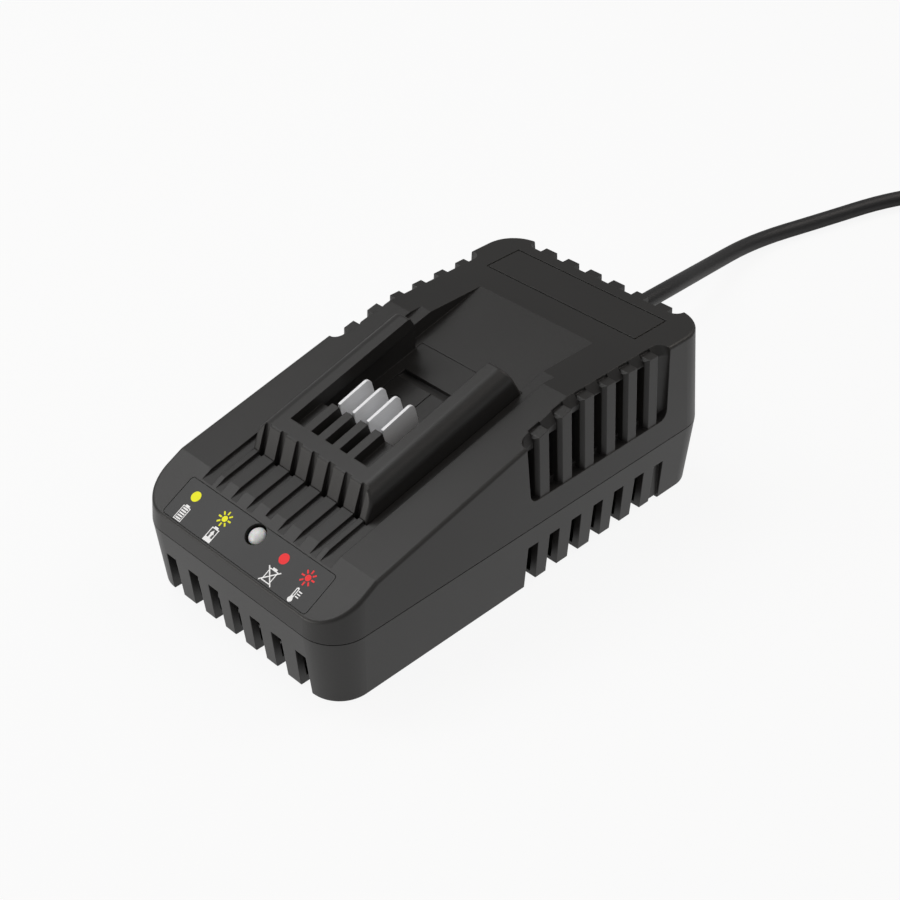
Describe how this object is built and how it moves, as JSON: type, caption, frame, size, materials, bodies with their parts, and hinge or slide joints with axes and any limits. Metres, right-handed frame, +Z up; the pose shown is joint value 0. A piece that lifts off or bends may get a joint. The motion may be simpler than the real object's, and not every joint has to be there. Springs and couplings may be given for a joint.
{
  "type": "power tool battery charger",
  "caption": "Mains charger for a slide-on tool battery: louvred wedge-shaped housing, sloped dock with overhanging rails and contact blades, indicator panel, coiled mains cord with plug.",
  "frame": {"origin": "centre of the housing's underside, on the surface it stands on", "axes": "+X to the right seen from the indicator panel, +Y along the housing towards the mains cord, +Z up"},
  "size_m": [0.1557, 0.4494, 0.0666],
  "materials": {
    "housing": "dark charcoal moulded plastic, fine grain, satin",
    "panel": "smooth dark indicator panel",
    "blade": "bright tin-plated contact metal",
    "clear": "clear moulded light guide",
    "led": "milky emitter",
    "inner_plastic": "black moulded part",
    "pale_plastic": "natural nylon",
    "steel": "zinc-plated screw",
    "board": "green circuit board",
    "ferrite": "sintered ferrite",
    "winding": "yellow winding tape",
    "copper": "enamelled copper wire",
    "film_box": "yellow film capacitor box",
    "can": "capacitor sleeve",
    "fuse": "glass tube with nickel caps",
    "aluminium": "plain sheet",
    "device": "moulded semiconductor",
    "cord": "flexible black cord jacket",
    "core": "insulated core",
    "foot": "soft rubber pad",
    "pin": "nickel-plated pin"
  },
  "bodies": {
    "root": {"base_shell": "housing", "top_shell": "housing", "battery_dock": "housing", "indicator_panel": "panel", "terminal_block": "inner_plastic", "light_pipe": "clear", "status_led": "led", "lamp_holder": "pale_plastic", "case_screws": "steel", "board_screws": "steel", "dock_screws": "steel", "clamp_screws": "steel", "circuit_board": "board", "transformer_core": "ferrite", "transformer_winding": "winding", "transformer_foot": "inner_plastic", "choke_core": "ferrite", "choke_winding": "copper", "interference_capacitor": "film_box", "bulk_capacitor": "can", "output_capacitors": "can", "bridge_rectifier": "device", "fuse": "fuse", "primary_heat_sink": "aluminium", "secondary_heat_sink": "aluminium", "power_switch": "device", "output_rectifier": "device", "control_chips": "device", "input_connector": "pale_plastic", "cord_cores": "core", "cord_sheath": "cord", "cord_clamp": "inner_plastic", "strain_relief": "cord", "cord_run": "cord", "cord_coil": "cord", "cord_tail": "cord", "cord_tie": "inner_plastic", "plug_body": "cord", "plug_pins": "pin", "contact_blade_1": "blade", "foot_pad_1": "foot", "contact_blade_2": "blade", "foot_pad_2": "foot", "contact_blade_3": "blade", "foot_pad_3": "foot", "contact_blade_4": "blade", "foot_pad_4": "foot"}
  },
  "joints": []
}
